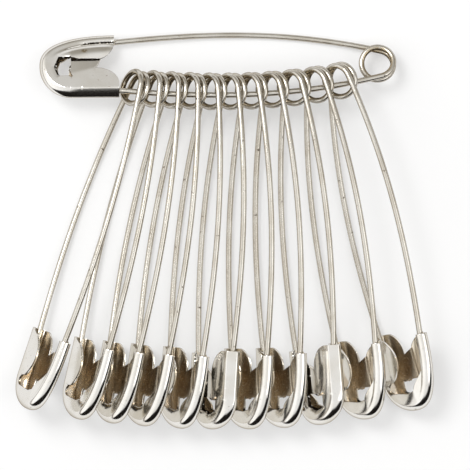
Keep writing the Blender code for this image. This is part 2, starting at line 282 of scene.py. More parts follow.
@dataclass(frozen=True)
class PlatedFinish:
    """Nickel plate on steel, with cloudy tint, fine scratches, dark pores, painted shade and a
    painted brown for shade and reflection.

    A scale is in waves per metre. A span is where a mask starts and where it is full.
    """

    name: str
    bright: Colour
    warm: Colour
    pore: Colour
    roughness: float
    roughness_spread: float
    pore_scale: float
    pore_level: float
    ripple: float
    dents: float
    cloud_scale: float = 260.0
    cloud_span: Span = (0.35, 0.68)
    scratch_scale: float = 900.0
    scratch_stretch: tuple[float, float, float] = (1.0, 9.0, 4.0)
    pore_edge: float = 0.06
    pore_cover: float = 0.8
    pore_roughness: float = 0.25
    pore_depth: float = 0.6
    crumb_scale: float = 2300.0
    crumb_span: Span = (0.26, 0.44)
    painted_shade_span: Span = (0.25, 0.6)
    painted_shade_roughness: float = 0.4
    brown_scale: float = 3000.0
    brown_span: Span = (0.2, 0.55)
    grain_scale: float = 1500.0
    grain_share: float = 0.4
    wave_scale: float = 420.0
    dent_scale: float = 190.0
    bump_distance: float = 0.02 * MM

    def make(self) -> bpy.types.Material:
        """The finish as a material.

        Returns:
            A metal whose colour drifts between bright and warm, whose pores are dark and rough,
            and whose bump adds a fine ripple. Two point attributes lay on a painted shade, near
            black and rougher, and a painted brown that stands for shade and reflection.
        """
        material = bpy.data.materials.new(self.name)
        material.use_nodes = True
        graph = Graph(material.node_tree)
        place = graph.stretched((1.0, 1.0, 1.0))
        cloud = graph.noise(place, self.cloud_scale, detail=2.0).above(*self.cloud_span)
        scratch = graph.noise(graph.stretched(self.scratch_stretch), self.scratch_scale, detail=4.0)
        pores = graph.noise(place, self.pore_scale, detail=2.0).above(
            self.pore_level, self.pore_level + self.pore_edge)
        crumbs = graph.noise(place, self.crumb_scale, detail=1.0).above(*self.crumb_span)
        # Painted shade: near black and rougher where the piece's shade attribute is high, broken up
        # by crumbs.
        painted_shade_amount = (graph.attribute("painted_shade") * crumbs).above(*self.painted_shade_span)
        # Painted brown: shade inside the wire's eye, and a brown reflection on the carrier's cap.
        painted_brown = graph.attribute("brown_shade_and_reflection") * graph.noise(place, self.brown_scale, detail=1.0).above(
            *self.brown_span)
        colour = graph.blend(cloud, self.bright, self.warm)
        colour = graph.blend(pores * self.pore_cover, colour, self.pore)
        colour = graph.blend(painted_brown, colour, PAINTED_BROWN)
        colour = graph.blend(painted_shade_amount, colour, PAINTED_SHADE)
        rough = (self.roughness + self.roughness_spread * scratch + self.pore_roughness * pores
                 + self.painted_shade_roughness * painted_shade_amount)
        height = (graph.noise(place, self.grain_scale, detail=2.0) * self.grain_share
                  + graph.noise(place, self.wave_scale, detail=1.0))
        height = height + self.dents * graph.noise(place, self.dent_scale, detail=1.0)
        bump = graph.node("ShaderNodeBump", None,
                          {"Strength": self.ripple, "Distance": self.bump_distance,
                           "Height": height - self.pore_depth * pores})
        shader = graph.node("ShaderNodeBsdfPrincipled", None,
                            {"Base Color": colour, "Metallic": 1.0, "Roughness": rough,
                             "Specular Tint": EDGE_TINT, "Normal": bump.outputs[0]})
        graph.node("ShaderNodeOutputMaterial", None, {"Surface": shader.outputs[0]})
        return material


CAP_OUTSIDE = PlatedFinish(
    "plated_sheet_outside", bright=(0.86, 0.84, 0.80, 1), warm=(0.80, 0.77, 0.71, 1),
    pore=(0.30, 0.25, 0.20, 1), roughness=0.10, roughness_spread=0.06, pore_scale=2600.0,
    pore_level=0.70, ripple=0.10, dents=14.0)
# The inside's finish: the same plate, darker and warmer, a painted shade for the inside of the cap.
CAP_INSIDE_SHADED = PlatedFinish(
    "plated_sheet_inside_shaded", bright=(0.76, 0.69, 0.58, 1), warm=(0.66, 0.57, 0.45, 1),
    pore=(0.20, 0.14, 0.09, 1), roughness=0.22, roughness_spread=0.08, pore_scale=2200.0,
    pore_level=0.68, ripple=0.14, dents=6.0)
WIRE_FINISH = PlatedFinish(
    "plated_wire", bright=(0.66, 0.63, 0.57, 1), warm=(0.57, 0.53, 0.46, 1),
    pore=(0.12, 0.09, 0.06, 1), roughness=0.20, roughness_spread=0.02, pore_scale=1500.0,
    pore_level=0.685, ripple=0.05, dents=0.0)


@dataclass(frozen=True)
class WireForm:
    """The one wire of a pin: a fixed arm, an eye of one and a half turns and a needle.

    bend_start and bend_end are numbers of eye radii from the eye's centre; dress works two points
    out of them that nothing uses.
    """

    diameter: float = 0.86 * MM
    eye_outer: float = 5.7 * MM
    turn_gap: float = 0.42 * MM
    eye_to_cap: float = 39.3 * MM
    arm_at_cap: float = 4.02 * MM
    leave_angle: float = math.radians(14)
    entry_angle: float = math.radians(6)
    leave_share: float = 0.335
    entry_share: float = 0.4
    fixed_in_cap: float = 6.0 * MM
    needle_in_cap: float = 4.6 * MM
    point_length: float = 3.2 * MM
    tip_radius: float = 0.06 * MM
    point_power: float = 1.25
    bend_start: float = 0.95
    bend_end: float = 1.5
    # Painted shade inside the eye: brown and near-black colour where the tube faces the eye's
    # middle, where the turns shade each other.
    eye_brown_shade: float = 0.9
    eye_brown_shade_span: Span = (-0.1, 0.7)
    painted_light: float = 0.5
    eye_shade_span: Span = (0.5, 0.4)
    eye_span: Span = (1.1, 0.6)
    sides: int = 16
    arm_steps: int = 56
    eye_steps: int = 84
    fixed_steps: int = 10
    needle_steps: int = 22
    dome_steps: int = 5

    @property
    def eye_radius(self) -> float:
        """Radius of the eye's centre line."""
        return (self.eye_outer - self.diameter) / 2

    @property
    def layer(self) -> float:
        """Distance between the two layers of the eye."""
        return self.diameter + self.turn_gap

    def arm(self, shares: np.ndarray, side: Side) -> np.ndarray:
        """Points of an arm from the eye to the cap's mouth: a cubic curve whose ends leave the
        eye and enter the cap at their own angles, and whose level eases from its layer to 0.

        Args:
            shares: places from 0 at the eye to 1 at the mouth.
            side: which arm.

        Returns:
            One row u, v, w for each share.
        """
        leave, enter = self.leave_angle, self.entry_angle
        start = np.array((-math.sin(leave), math.cos(leave))) * self.eye_radius
        end = np.array((self.eye_to_cap, self.arm_at_cap))
        first = start + np.array((math.cos(leave), math.sin(leave))) * (
            self.leave_share * self.eye_to_cap)
        second = end - np.array((math.cos(enter), -math.sin(enter))) * (
            self.entry_share * self.eye_to_cap)
        t = shares[:, None]
        flat = (start * (1 - t) ** 3 + first * 3 * (1 - t) ** 2 * t
                + second * 3 * (1 - t) * t ** 2 + end * t ** 3)
        level = self.layer / 2 * (1 - ease(flat[:, 0], 0.0, self.eye_to_cap))
        return np.stack((flat[:, 0], side.value * flat[:, 1], side.value * level), -1)

    def in_cap(self, depths: np.ndarray, side: Side) -> np.ndarray:
        """Points of the straight end inside the cap, at depths past the mouth."""
        u = self.eye_to_cap + depths * math.cos(self.entry_angle)
        v = side.value * (self.arm_at_cap - depths * math.sin(self.entry_angle))
        return np.stack((u, v, 0 * u), -1)

    def eye(self) -> np.ndarray:
        """Points of the eye: a circle run through one and a half turns, whose level eases from
        one layer to the other on its near half."""
        start = math.pi / 2 + self.leave_angle
        turn = np.linspace(start, start + 3 * math.pi - 2 * self.leave_angle, self.eye_steps)
        crossing = ease(turn, 1.5 * math.pi, math.pi)
        level = self.layer / 2 * (1 - 2 * crossing)
        return np.stack((self.eye_radius * np.cos(turn), self.eye_radius * np.sin(turn), level), -1)

    def line(self) -> tuple[np.ndarray, np.ndarray]:
        """Centre line and radius from the end of the fixed arm to the needle's point.

        Returns:
            The points, and the radius at each.
        """
        shares = np.linspace(0, 1, self.arm_steps)
        fixed_depths = np.linspace(self.fixed_in_cap, 0, self.fixed_steps)[:-1]
        needle_depths = np.linspace(0, self.needle_in_cap, self.needle_steps)[1:]
        points = np.concatenate((
            self.in_cap(fixed_depths, Side.FIXED), self.arm(shares[::-1], Side.FIXED),
            self.eye()[1:-1], self.arm(shares, Side.NEEDLE),
            self.in_cap(needle_depths, Side.NEEDLE)))
        radii = np.full(len(points), self.diameter / 2)
        ground = (needle_depths - (self.needle_in_cap - self.point_length)) / self.point_length
        radii[-len(needle_depths):] = self.tip_radius + (self.diameter / 2 - self.tip_radius) * (
            1 - np.clip(ground, 0, 1) ** self.point_power)
        return points, radii

    def build(self, name: str, place: PinPlace) -> bpy.types.Object:
        """The wire's tube: a circle of the local radius carried square to the centre line, with
        a half ball at each end.

        Args:
            name: the piece's name.
            place: where the pin lies.

        Returns:
            The piece.
        """
        points, radii = self.line()
        tangents = np.gradient(points, axis=0)
        tangents /= np.linalg.norm(tangents, axis=1)[:, None]
        dome = np.linspace(0, math.pi / 2, self.dome_steps + 1)[1:-1]
        back = points[0] - np.outer(np.sin(dome[::-1]), tangents[0]) * radii[0]
        ahead = points[-1] + np.outer(np.sin(dome), tangents[-1]) * radii[-1]
        line = np.concatenate((back, points, ahead))
        reach = np.concatenate((np.cos(dome[::-1]) * radii[0], radii, np.cos(dome) * radii[-1]))
        headings = np.concatenate((np.repeat(tangents[:1], len(dome), 0), tangents,
                                   np.repeat(tangents[-1:], len(dome), 0)))
        level = np.array((0.0, 0.0, 1.0)) - headings * headings[:, 2:3]
        level /= np.linalg.norm(level, axis=1)[:, None]
        aside = np.cross(headings, level)
        angles = np.linspace(0, 2 * math.pi, self.sides, endpoint=False)
        rings = (line[:, None] + reach[:, None, None] * (
            np.cos(angles)[None, :, None] * level[:, None]
            + np.sin(angles)[None, :, None] * aside[:, None]))
        poles = np.stack((points[0] - tangents[0] * radii[0], points[-1] + tangents[-1] * radii[-1]))
        cloud = np.concatenate((rings.reshape(-1, 3), poles))
        count = len(line) * self.sides
        faces = Sheet.quads(len(line), self.sides, True)
        near = [((i + 1) % self.sides, i, count) for i in range(self.sides)]
        base = count - self.sides
        far = [(base + i, base + (i + 1) % self.sides, count + 1) for i in range(self.sides)]
        inner, near_eye = self.inner(line, reach, rings)
        # Painted shade where the tube faces the middle of the eye: a brown share and a near-black
        # share.
        brown_shade_and_reflection = self.eye_brown_shade * ease(inner, *self.eye_brown_shade_span) * near_eye
        painted_shade = self.painted_light * ease(inner, *self.eye_shade_span) * near_eye
        layers = {"brown_shade_and_reflection": brown_shade_and_reflection.reshape(-1), "painted_shade": painted_shade.reshape(-1)}
        layers = {layer: np.append(values, (0.0, 0.0)) for layer, values in layers.items()}
        return Sheet.piece(name, place.world(cloud), faces, near + far, layers)

    def inner(self, line: np.ndarray, reach: np.ndarray,
              rings: np.ndarray) -> tuple[np.ndarray, np.ndarray]:
        """Where the tube faces the middle of the eye.

        Args:
            line: the centre line.
            reach: the radius at each of its points.
            rings: the tube's points, one row for each point of the line.

        Returns:
            How squarely each point faces the middle, 1 at the most, and a mask of the eye.
        """
        away = np.linalg.norm(line[:, :2], axis=1)
        toward = -line * (1, 1, 0) / away[:, None]
        facing = ((rings - line[:, None]) * toward[:, None]).sum(-1) / reach[:, None]
        return facing, (1 - ease(away / self.eye_radius, *self.eye_span))[:, None]


@dataclass(frozen=True)
class Pressing:
    """What pressing and shearing do to a cap's plain sheet, in millimetres.

    Depths run inward from the outline, lengths run from the cap's mouth, and stations are those
    of CapForm. A span is where a change starts and how much further on it is complete.
    """

    hug_end: float = 0.85
    tuck: float = 0.16
    tuck_depths: Span = (1.0, 0.45)
    step_depths: Span = (1.45, 0.5)
    crimp_depth: float = 0.30
    crimp_inset: float = 1.36
    crimp_width: float = 0.17
    crimp_length: float = 6.5
    crimp_fade: float = 1.5
    tooth_pitch: float = 0.55
    tooth_mean: float = 0.75
    tooth_swing: float = 0.25
    slant: float = 0.92
    slant_stations: Span = (1.3, 0.9)
    ear_drop: float = 0.30
    drop_ease: float = 0.15
    drop_stations: Span = (1.93, 0.06)
    crease_height: float = -0.75
    crease_slope: float = -0.27
    ear_inset: float = 1.95
    ear_bulge: float = 0.14
    bulge_reach: float = 2.7
    bulge_rise: float = 0.3
    bulge_end: Span = (7.9, 1.5)
    ear_lift: float = 0.15
    ear_fall: float = 0.06
    lift_reach: float = 2.33
    lift_top: float = 0.55
    lift_end: Span = (6.7, 1.8)
    torn_start: float = 7.6
    torn_rise: float = 0.05
    torn_end: Span = (1.45, 0.1)
    burr_width: float = 0.35
    burr_depth: float = 0.32
    dish_width: float = 1.0
    dish_depth: float = 0.13
    tip_length: float = 1.6
    tip_fade: float = 0.12


@dataclass(frozen=True)
class PaintedLight:
    """Where painted shade, painted shadow and a painted brown reflection lie on a cap's plate, in
    millimetres, with spans as in Pressing.
    """

    # Painted shade across the crimp line beside the fixed arm.
    groove_width: float = 0.13
    groove_fade: float = 1.8
    # Painted shadow along the sheared edges, widest at the window.
    edge_width: float = 0.07
    edge_growth: float = 0.27
    edge_lengths: Span = (6.0, 1.4)
    edge_end: Span = (1.42, 0.08)
    edge_soft: float = 0.08
    # A painted brown reflection on the carrier's fixed ear.
    spot_along: float = 5.3
    spot_aside: float = 2.1
    spot_reach: float = 0.34
    spot_aspect: float = 1.3
    spot_power: int = 4


@dataclass(frozen=True)
class CapForm:
    """The folded sheet cap in millimetres, as one sheet carried round its outline.

    A station t runs round the outline: 0 to 1 on the tapered fixed side, 1 to 2 round the needle
    side's corner, 2 to 3 along the straight needle side. At each station the sheet runs from the
    edge of the front opening, round the rim, to the edge of the plate's opening.
    """

    mouth: float = 39.3
    length: float = 12.15
    side: float = 5.05
    half: float = 1.17
    sheet: float = 0.35
    rim: float = 1.05
    corner_length: float = 4.9
    power: float = 2.5
    setback: float = 0.8
    wrap: float = 1.4
    wrap_length: float = 6.1
    wrap_half: float = 0.88
    shoulder_end: float = 0.8
    band_corner: float = 1.1
    band: float = 3.1
    band_point: float = 0.35
    guard_reach: float = 4.2
    guard_sag: float = 1.5
    guard_tip: float = 0.9
    guard_slope: float = 1.0
    guard_lap: float = 0.05
    relief_length: float = 1.7
    relief_rim: float = 1.6
    relief_stations: Span = (1.55, 1.97)
    fixed_ear: float = 2.4
    needle_ear: float = 3.6
    needle_ear_rise: float = 2.6
    needle_ear_edge: float = 1.8
    lobe_lean: float = 0.9
    lobe_tuck: float = 0.75
    lobe_foot: float = 2.0
    lobe_lead: float = 0.2
    slit_offset: float = 0.6
    slit_width: float = 0.35
    window_length: float = 1.7
    window_width: float = 2.9
    window_offset: float = -0.5
    window_point: float = 0.55
    window_margin: float = 2.55
    window_rise: float = 0.35
    window_lap: float = 1.4
    window_lead: float = 0.3
    window_stations: tuple[float, float, float] = (1.06, 1.55, 1.95)
    bevel_width: float = 0.05
    bevel_segments: int = 2
    bevel_angle: float = math.radians(62)
    pressing: Pressing = Pressing()
    # Where the painted shade, the painted shadow and the painted brown reflection lie; the brown
    # reflection only where asked.
    painted_light: PaintedLight = PaintedLight()
    reflection_spot: bool = False
    slope_step: float = 0.004
    station_step: float = 0.2
    shoulder_keys: int = 14
    relief_keys: int = 13
    guard_keys: int = 40
    ear_keys: int = 14
    lobe_keys: int = 18
    front_columns: int = 30
    plate_columns: int = 46

    @property
    def end(self) -> float:
        """u of the closed end."""
        return self.mouth + self.length

    def fixed_station(self, u: np.ndarray | float) -> Any:
        """Station on the fixed side at u."""
        first = math.asin((self.setback / self.length) ** (self.power / 2))
        angle = np.arcsin(np.clip((u - self.mouth) / self.length, 0, 1) ** (self.power / 2))
        return (angle - first) / (math.pi / 2 - first)

    def needle_station(self, u: np.ndarray | float) -> Any:
        """Station on the straight needle side at u."""
        corner = self.end - self.corner_length
        return 2 + (corner - u) / (corner - self.mouth)

    def outline(self, stations: np.ndarray) -> np.ndarray:
        """Outline of the cap: a superellipse on the fixed side, a quarter ellipse at the needle
        side's corner and a straight line to the mouth.

        Args:
            stations: the stations t.

        Returns:
            One row u, v for each.
        """
        first = math.asin((self.setback / self.length) ** (self.power / 2))
        a = first + (math.pi / 2 - first) * np.clip(stations, 0, 1)
        b = math.pi / 2 * np.clip(stations - 1, 0, 1)
        run = np.clip(stations - 2, 0, 1)
        u_fixed = self.mouth + self.length * np.sin(a) ** (2 / self.power)
        v_fixed = self.side * np.abs(np.cos(a)) ** (2 / self.power)
        u_corner = self.end - self.corner_length * (1 - np.cos(b))
        v_corner = -self.side * np.sin(b)
        u_straight = self.end - self.corner_length - run * (self.length - self.corner_length)
        u = np.where(stations <= 1, u_fixed, np.where(stations <= 2, u_corner, u_straight))
        v = np.where(stations <= 1, v_fixed, np.where(stations <= 2, v_corner, -self.side))
        return np.stack((u, v), -1)

    def inward(self, stations: np.ndarray) -> np.ndarray:
        """Inward unit normal of the outline, from its slope over a small step."""
        ahead = self.outline(np.clip(stations + self.slope_step, 0, 3))
        behind = self.outline(np.clip(stations - self.slope_step, 0, 3))
        slope = ahead - behind
        slope /= np.linalg.norm(slope, axis=1)[:, None]
        return np.stack((slope[:, 1], -slope[:, 0]), -1)

    def wrapped(self, stations: np.ndarray) -> np.ndarray:
        """Inner edge of the wrap: the outline drawn in by the wrap's width."""
        return self.outline(stations) + self.inward(stations) * self.wrap

    def hug(self, stations: np.ndarray) -> np.ndarray:
        """How closely the sheet hugs the fixed arm: 1 at the mouth, 0 past the wrap's end."""
        return 1 - ease(stations, 0.0, self.pressing.hug_end)

    def depth(self, stations: np.ndarray, flat: np.ndarray) -> np.ndarray:
        """How far each point of a grid of u, v lies inward from the outline at its station."""
        return ((flat - self.outline(stations)[:, None]) * self.inward(stations)[:, None]).sum(-1)

    def front_keys(self) -> tuple[np.ndarray, np.ndarray]:
        """Corners of the front opening's edge past the wrap, and the stations that they face.

        Returns:
            The stations, and one row u, v for each.
        """
        band = self.end - self.band
        met = float(self.fixed_station(self.mouth + self.wrap_length))
        start = self.wrapped(np.array((met,)))[0]
        keys = []
        for share in np.linspace(0, 1, self.shoulder_keys):
            height = start[1] + (self.band_corner - start[1]) * ease(share, 0.0, 1.0)
            keys.append((met + (self.shoulder_end - met) * share,
                         start[0] + (band - start[0]) * share, height))
        keys.append((1.0, band + self.band_point, 0.0))
        radius = self.relief_length / 2
        hollow = (band - radius, -(self.side - self.relief_rim) + radius)
        for angle, station in zip(np.linspace(0, math.pi, self.relief_keys),
                                  np.linspace(*self.relief_stations, self.relief_keys)):
            keys.append((station, hollow[0] + radius * math.cos(angle),
                         hollow[1] - radius * math.sin(angle)))
        edge = -(self.side - self.guard_reach)
        start, stop = band - self.relief_length, self.mouth + self.guard_slope
        for u in np.linspace(start - self.guard_lap, stop, self.guard_keys):
            share = (2 * u - start - stop) / (start - stop)
            keys.append((self.needle_station(u), u, edge - self.guard_sag * share ** 2))
        keys.append((3.0, self.mouth, -(self.side - self.guard_tip)))
        table = np.array(keys)
        return table[:, 0], table[:, 1:]

    def plate_keys(self) -> tuple[np.ndarray, np.ndarray]:
        """Corners of the plate's inner edge, from the fixed ear round the window to the needle
        ear, and the stations that they face.

        Returns:
            The stations, and one row u, v for each.
        """
        ear_top = self.side - self.wrap
        top = self.slit_offset + self.slit_width / 2
        bottom = self.slit_offset - self.slit_width / 2 + self.lobe_tuck
        first = self.mouth + self.setback
        window_end = self.end - self.window_margin - self.window_point
        window_start = window_end - self.window_length
        upper = self.window_offset + self.window_width / 2
        lower = self.window_offset - self.window_width / 2
        keys = []
        for angle in np.linspace(0, math.pi / 2, self.ear_keys):
            u = first + self.fixed_ear * (1 - math.cos(angle))
            station = float(self.fixed_station(first + self.fixed_ear * angle / (math.pi / 2)))
            keys.append((station, u, ear_top - (ear_top - top) * math.sin(angle)))
        at_point, at_end, at_start = self.window_stations
        keys += [(float(self.fixed_station(window_start)), window_start, top),
                 (float(self.fixed_station(window_start + self.window_rise)), window_start, upper),
                 (float(self.fixed_station(window_end + self.window_lap)), window_end, upper),
                 (at_point, window_end + self.window_point, self.window_offset),
                 (at_end, window_end, lower), (at_start, window_start, lower),
                 (float(self.needle_station(window_start - self.window_lead)), window_start,
                  bottom)]
        notch = self.mouth + self.needle_ear
        ear_bottom = -(self.side - self.needle_ear_edge)
        foot = notch + self.lobe_foot
        keys.append((float(self.needle_station(foot + self.lobe_lead)), notch - self.lobe_lean,
                     bottom))
        for angle in np.linspace(0, math.pi / 2, self.lobe_keys):
            station = float(self.needle_station(foot + (self.mouth - foot) * angle * 2 / math.pi))
            keys.append((station, notch - self.needle_ear * math.sin(angle),
                         ear_bottom + self.needle_ear_rise * math.cos(angle)))
        table = np.array(keys)
        return table[:, 0], table[:, 1:]

    def stations(self, *key_sets: np.ndarray) -> np.ndarray:
        """Stations of the grid: every key, and even steps of the outline between them."""
        keys = np.unique(np.round(np.concatenate((*key_sets, (0.0, 1.0, 2.0, 3.0))), 5))
        runs = [keys[:1]]
        for low, high in zip(keys, keys[1:]):
            ends = self.outline(np.array((low, high)))
            count = max(1, round(float(np.linalg.norm(ends[1] - ends[0])) / self.station_step))
            runs.append(np.linspace(low, high, count + 1)[1:])
        return np.concatenate(runs)

    def profile(self, stations: np.ndarray, edge: np.ndarray, face: Face,
                columns: int) -> np.ndarray:
        """Half of the sheet, from the middle of the rim to the edge of one opening.

        The rim is a quarter ellipse square to the outline; past it the sheet runs straight to
        the edge. Points stand at even steps of the whole way.

        Args:
            stations: the stations t.
            edge: the opening's edge at each station.
            face: which half.
            columns: steps from the rim to the edge.

        Returns:
            A grid of u, v, w, one row for each station.
        """
        rim_line, inward = self.outline(stations), self.inward(stations)
        height = self.half - (self.half - self.wrap_half) * self.hug(stations)
        rim = np.minimum(self.rim, height)
        depth = ((edge - rim_line) * inward).sum(-1)
        short = depth < rim
        last = np.where(short, np.arccos(np.clip(1 - depth / rim, -1, 1)), math.pi / 2)
        turned = rim_line + inward * (rim * (1 - np.cos(last)))[:, None]
        straight = np.where(short, 0.0, np.linalg.norm(edge - turned, axis=1))
        bend = rim * last
        way = np.linspace(0, 1, columns + 1)[None, :] * (bend + straight)[:, None]
        angle = np.minimum(way, bend[:, None]) / rim[:, None]
        past = np.clip(way - bend[:, None], 0, None) / np.maximum(straight, 1e-9)[:, None]
        into, up = 1 - np.cos(angle), np.sin(angle)
        if face is Face.PLATE:
            chord = angle / (math.pi / 2)
            slant = self.pressing.slant * ease(stations, *self.pressing.slant_stations)[:, None]
            into, up = into + (chord - into) * slant, up + (chord - up) * slant
        flat = (rim_line[:, None] + inward[:, None] * (rim[:, None] * into)[..., None]
                + (edge - turned)[:, None] * past[..., None] * (~short)[:, None, None])
        left = (1 - past) * straight[:, None]
        level = height[:, None] * up + self.relief(stations, flat, past, left, face)
        return np.concatenate((flat, face.value * level[..., None]), -1)

    def brown_shade_and_reflection(self, grid: np.ndarray) -> np.ndarray:
        """A small round painted brown reflection on the fixed ear's plate: a bell curve round its
        middle.
        """
        painted_light = self.painted_light
        away = np.hypot((grid[..., 0] - self.mouth - painted_light.spot_along) / painted_light.spot_aspect,
                        grid[..., 1] - painted_light.spot_aside)
        return np.exp(-(away / painted_light.spot_reach) ** painted_light.spot_power) * (grid[..., 2] < 0)

    def painted_shade(self, grid: np.ndarray, stations: np.ndarray) -> np.ndarray:
        """How much painted shade a point of the plate carries.

        Args:
            grid: u, v, w of the cap's points, one row for each station.
            stations: the stations t.

        Returns:
            Painted shade: a bell curve across the crimp line beside the fixed arm, faded out towards
                the closed
            end, and a painted shadow along the sheared edges of the plate, widest at the window.
        """
        press, painted_light = self.pressing, self.painted_light
        flat = grid[..., :2]
        along = flat[..., 0] - self.mouth
        across = (self.depth(stations, flat) - press.crimp_inset) / painted_light.groove_width
        fade = 1 - ease(along, press.crimp_length - painted_light.groove_fade, painted_light.groove_fade)
        crimp = np.exp(-across ** 2) * fade * (stations < 1)[:, None]
        way = np.hypot(*np.moveaxis(grid[:, -1:, :2] - flat, -1, 0))
        width = painted_light.edge_width + painted_light.edge_growth * ease(along, *painted_light.edge_lengths)
        width = width * (1 - ease(stations, *painted_light.edge_end))[:, None]
        edge = ease(width - way, 0.0, painted_light.edge_soft)
        return np.maximum(crimp, edge) * (grid[..., 2] < 0)

    def fixed_ear_relief(self, stations: np.ndarray, flat: np.ndarray,
                         deep: np.ndarray) -> np.ndarray:
        """Height of the fixed ear: the step up past the fixed arm, the toothed crimp line beside
        the arm, and the ear's own convex form.

        Args:
            stations: the stations t.
            flat: u, v of each point.
            deep: how far each point lies inward from the outline.

        Returns:
            The added height at each point.
        """
        press = self.pressing
        u = flat[..., 0]
        along = u - self.mouth
        step = (self.half - self.wrap_half) * self.hug(stations)[:, None]
        step = step * ease(deep, *press.step_depths)
        teeth = press.tooth_mean + press.tooth_swing * np.cos(u * 2 * math.pi / press.tooth_pitch)
        crimp = -press.crimp_depth * teeth * np.exp(
            -((deep - press.crimp_inset) / press.crimp_width) ** 2)
        crimp = crimp * (1 - ease(along, press.crimp_length - press.crimp_fade, press.crimp_fade))
        ear = deep - press.ear_inset
        bulge = -press.ear_bulge * (1 - np.sin(np.pi * np.clip(ear / press.bulge_reach, 0, 1)))
        bulge = bulge * ease(ear, 0.0, press.bulge_rise) * (1 - ease(along, *press.bulge_end))
        pillow = ear / press.lift_reach
        lift = (press.ear_lift * ease(pillow, 0.0, press.lift_top)
                - press.ear_fall * ease(pillow, press.lift_top, 1 - press.lift_top))
        return step + crimp + bulge + lift * (1 - ease(along, *press.lift_end))

    def needle_ear_relief(self, stations: np.ndarray, flat: np.ndarray) -> np.ndarray:
        """Drop of the needle ear: a plane that falls from its crease to the fixed ear's edge,
        with a soft start.

        Args:
            stations: the stations t.
            flat: u, v of each point.

        Returns:
            The added height at each point.
        """
        press = self.pressing
        past_notch = flat[..., 0] - self.mouth - self.needle_ear
        crease = press.crease_height + press.crease_slope * past_notch
        ear_line = self.slit_offset + self.slit_width / 2
        slope = np.clip((flat[..., 1] - crease) / (ear_line - crease), 0, None)
        soft = press.drop_ease
        slope = np.where(slope < soft, slope ** 2 / (2 * soft), slope - soft / 2)
        return -press.ear_drop * slope * ease(stations, *press.drop_stations)[:, None]

    def sheared_relief(self, stations: np.ndarray, left: np.ndarray) -> np.ndarray:
        """Drop of the sheared edges: a narrow burr and a wider dish along the window's torn side,
        and the dish at the fixed ear's tip.

        Args:
            stations: the stations t.
            left: what is left of the way to the edge at each point.

        Returns:
            The added height at each point.
        """
        press = self.pressing
        torn = ease(stations, self.fixed_station(self.mouth + press.torn_start), press.torn_rise)
        torn = torn * (1 - ease(stations, *press.torn_end))
        tip = 1 - ease(stations, self.fixed_station(self.mouth + press.tip_length), press.tip_fade)
        burr = press.burr_depth * (1 - np.clip(left / press.burr_width, 0, 1)) ** 2
        dish = press.dish_depth * (1 - np.clip(left / press.dish_width, 0, 1)) ** 2
        return -burr * torn[:, None] - dish * np.maximum(torn, tip)[:, None]

    def relief(self, stations: np.ndarray, flat: np.ndarray, past: np.ndarray,
               left: np.ndarray, face: Face) -> np.ndarray:
        """Height that pressing and shearing add to a face: on the front the wrap's tucked edge,
        on the plate the two ears and the sheared edges.

        Args:
            stations: the stations t.
            flat: u, v of each point.
            past: share of the straight run at each point.
            left: what is left of the straight run there.
            face: which half.

        Returns:
            The added height at each point.
        """
        press = self.pressing
        deep = self.depth(stations, flat)
        fixed = (stations < 1)[:, None]
        if face is Face.FRONT:
            tuck = -press.tuck * self.hug(stations)[:, None] * ease(deep, *press.tuck_depths)
            return np.where(fixed, tuck, 0.0)
        ears = np.where(fixed, self.fixed_ear_relief(stations, flat, deep),
                        self.needle_ear_relief(stations, flat) * (past > 0))
        return ears + self.sheared_relief(stations, left) * (past > 0)

    def build(self, name: str, place: PinPlace) -> bpy.types.Object:
        """The cap's sheet with its thickness and softened edges.

        Args:
            name: the piece's name.
            place: where the pin lies.

        Returns:
            The piece.
        """
        front_at, front_edge = self.front_keys()
        plate_at, plate_edge = self.plate_keys()
        stations = self.stations(front_at, plate_at)
        front = np.stack([np.interp(stations, front_at, front_edge[:, k]) for k in (0, 1)], -1)
        front = np.where((stations < front_at[0])[:, None], self.wrapped(stations), front)
        plate = np.stack([np.interp(stations, plate_at, plate_edge[:, k]) for k in (0, 1)], -1)
        upper = self.profile(stations, front, Face.FRONT, self.front_columns)
        lower = self.profile(stations, plate, Face.PLATE, self.plate_columns)
        grid = np.concatenate((upper[:, ::-1], lower[:, 1:]), 1)
        faces = Sheet.quads(grid.shape[0], grid.shape[1], False)[:, ::-1]
        # Painted shade in the crimp and painted shadow along the sheared edges, and on the carrier a
        # painted brown reflection on the fixed ear.
        painted_shade_amount = self.painted_shade(grid, stations).reshape(-1)
        brown_shade_and_reflection = self.reflection_spot * self.brown_shade_and_reflection(grid).reshape(-1)
        piece = Sheet.piece(name, place.world(grid.reshape(-1, 3) * MM), faces, (),
                            {"painted_shade": painted_shade_amount, "brown_shade_and_reflection": brown_shade_and_reflection})
        wall = piece.modifiers.new("wall", "SOLIDIFY")
        wall.thickness = self.sheet * MM
        wall.offset = -1
        wall.use_even_offset = False
        # The inner shell takes the darker painted-shade copy of the plate.
        wall.material_offset = 1
        soft = piece.modifiers.new("edges", "BEVEL")
        soft.width = self.bevel_width * MM
        soft.segments = self.bevel_segments
        soft.limit_method = "ANGLE"
        soft.angle_limit = self.bevel_angle
        return piece


